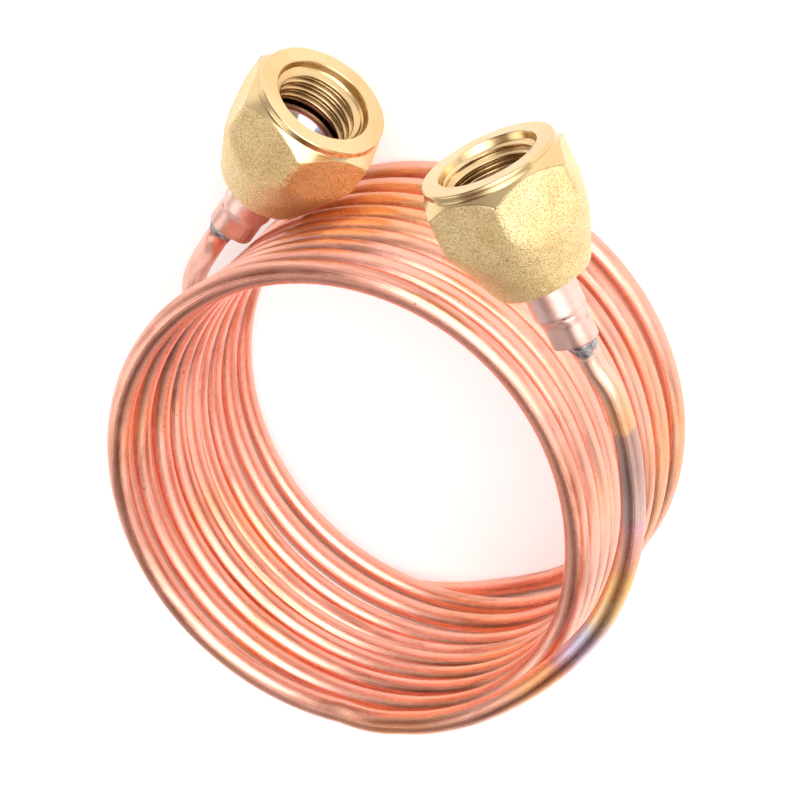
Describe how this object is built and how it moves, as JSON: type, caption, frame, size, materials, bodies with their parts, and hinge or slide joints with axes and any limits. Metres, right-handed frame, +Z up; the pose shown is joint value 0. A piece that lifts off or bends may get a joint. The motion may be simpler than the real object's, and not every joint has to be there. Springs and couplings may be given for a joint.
{
  "type": "coiled copper connecting tube",
  "caption": "Thin copper capillary wound in a short round coil, each end soldered into a crimped flared stub that carries a freely turning forged brass flare nut.",
  "frame": {"origin": "centre of the bounding box, on the surface that the coil lies on", "axes": "+Z up, nearly along the coil's own axis; +Y toward the two flare nuts; +X toward the right-hand lead"},
  "size_m": [0.0714, 0.0942, 0.0412],
  "materials": {
    "copper": "bright drawn copper tube",
    "stub_copper": "annealed copper, slightly dulled by brazing",
    "solder": "dull grey silver solder",
    "forged_brass": "sandy forged flats with machined face, chamfer and bore"
  },
  "bodies": {
    "coil": {"capillary_coil": "copper", "left_flared_stub": "stub_copper", "right_flared_stub": "stub_copper", "left_solder_fillet": "solder", "right_solder_fillet": "solder"},
    "left_nut": {"left_flare_nut": "forged_brass"},
    "right_nut": {"right_flare_nut": "forged_brass"}
  },
  "joints": [
    {"name": "left_nut_spin", "type": "hinge", "parent": "coil", "child": "left_nut", "pos_m": [-0.01607, 0.02788, 0.01264], "axis": [0.5177, 0.8556, 0.0027], "continuous": true},
    {"name": "right_nut_spin", "type": "hinge", "parent": "coil", "child": "right_nut", "pos_m": [0.01902, 0.03639, 0.03225], "axis": [-0.452, 0.8913, -0.0362], "continuous": true}
  ]
}
